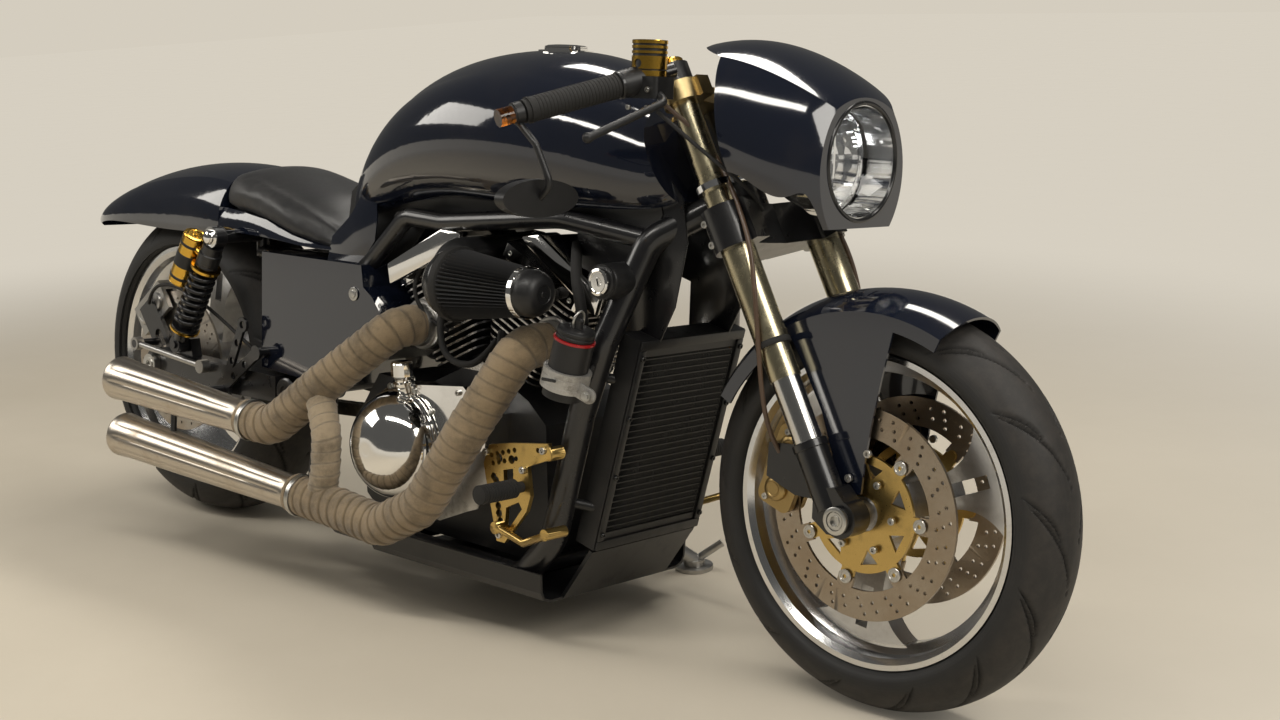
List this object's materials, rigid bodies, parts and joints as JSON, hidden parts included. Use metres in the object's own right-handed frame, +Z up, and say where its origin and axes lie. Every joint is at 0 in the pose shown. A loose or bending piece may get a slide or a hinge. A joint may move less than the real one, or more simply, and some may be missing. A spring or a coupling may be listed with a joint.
{
  "type": "power cruiser motorcycle",
  "caption": "Low power cruiser motorcycle on its side stand, with a short nose fairing, V engine, wrapped exhaust headers and wide rear tyre; it steers and rolls, and its stand folds.",
  "frame": {"origin": "on the ground, below the middle of the bounding box of the bike as it stands leaning on its side stand", "axes": "+X points forward along the bike, +Y to the rider's left, +Z up; the bike leans 6.2 degrees towards +Y"},
  "size_m": [2.2558, 0.8451, 0.9716],
  "materials": {
    "tyre_rubber": "matt, worn brownish tread",
    "wheel_silver": "polished",
    "disc_steel": "brushed, bronze tint",
    "gold_anodised": "anodised satin",
    "champagne_fork": "anodised satin",
    "silver_steel": "satin",
    "gloss_bodywork": "deep gloss",
    "black_frame": "satin",
    "black_plastic": "matt",
    "engine_black": "wrinkle satin black",
    "chromed_alloy": "chrome plated, mirror",
    "bright_chrome": "mirror",
    "header_wrap": "woven, stained",
    "muffler_steel": "brushed champagne",
    "seat_leather": "satin",
    "filter_pleats": "pleated",
    "chain_steel": "oiled",
    "spring_black": "gloss",
    "clear_lens": "clear",
    "red_lens": "clear red",
    "amber_lens": "amber",
    "soft_rubber": "ribbed",
    "raw_plate": "raw"
  },
  "bodies": {
    "chassis": {"chassis_frame": "black_frame", "swingarm": "black_frame", "rear_axle": "silver_steel", "drive_chain": "chain_steel", "rear_caliper": "silver_steel", "rear_caliper_bracket": "black_frame", "torque_rod": "silver_steel", "shock_absorbers": "spring_black", "shock_fittings": "gold_anodised", "crankcase": "engine_black", "cylinders": "engine_black", "rocker_covers": "chromed_alloy", "clutch_cover": "chromed_alloy", "side_cover": "chromed_alloy", "generator_cover": "chromed_alloy", "intake": "black_plastic", "air_filter": "filter_pleats", "rear_header": "header_wrap", "front_header": "header_wrap", "mufflers": "muffler_steel", "muffler_hanger": "black_frame", "fuel_tank": "gloss_bodywork", "fuel_cap": "bright_chrome", "tail_unit": "gloss_bodywork", "seat_pad": "seat_leather", "tail_light": "red_lens", "side_body": "gloss_bodywork", "belly_pan": "gloss_bodywork", "radiator": "black_plastic", "ignition_lock": "black_plastic", "canister": "black_plastic", "canister_clamp": "raw_plate", "heat_plate": "raw_plate", "rearsets": "gold_anodised", "foot_pegs": "soft_rubber"},
    "steering": {"lower_clamp": "black_frame", "upper_clamp": "gold_anodised", "fork_tubes": "champagne_fork", "fork_sliders": "silver_steel", "fork_feet": "black_frame", "front_axle": "silver_steel", "front_calipers": "gold_anodised", "front_fender": "gloss_bodywork", "nose_fairing": "gloss_bodywork", "headlight_bowl": "bright_chrome", "headlight_lens": "clear_lens", "handlebars": "black_frame", "grips": "soft_rubber", "bar_ends": "amber_lens", "bar_controls": "black_plastic", "mirrors": "black_plastic"},
    "front_wheel": {"front_tyre": "tyre_rubber", "front_rim": "wheel_silver", "front_discs": "disc_steel", "front_disc_carriers": "gold_anodised"},
    "rear_wheel": {"rear_tyre": "tyre_rubber", "rear_rim": "wheel_silver", "rear_disc": "disc_steel", "rear_sprocket": "silver_steel"},
    "side_stand": {"side_stand": "silver_steel"}
  },
  "joints": [
    {"name": "steering_turn", "type": "hinge", "parent": "chassis", "child": "steering", "pos_m": [0.51155, 0.00588, 0.77214], "axis": [-0.4772, 0.0949, 0.8737], "range_deg": [-28, 28]},
    {"name": "front_wheel_spin", "type": "hinge", "parent": "steering", "child": "front_wheel", "pos_m": [0.828, -0.04556, 0.29861], "axis": [0, 0.9942, -0.108], "continuous": true},
    {"name": "rear_wheel_spin", "type": "hinge", "parent": "chassis", "child": "rear_wheel", "pos_m": [-0.812, -0.0438, 0.31478], "axis": [0, 0.9942, -0.108], "continuous": true},
    {"name": "side_stand_fold", "type": "hinge", "parent": "chassis", "child": "side_stand", "pos_m": [0.178, 0.12497, 0.09061], "axis": [-0.2825, 0.9591, -0.0188], "range_deg": [0, 112]}
  ]
}
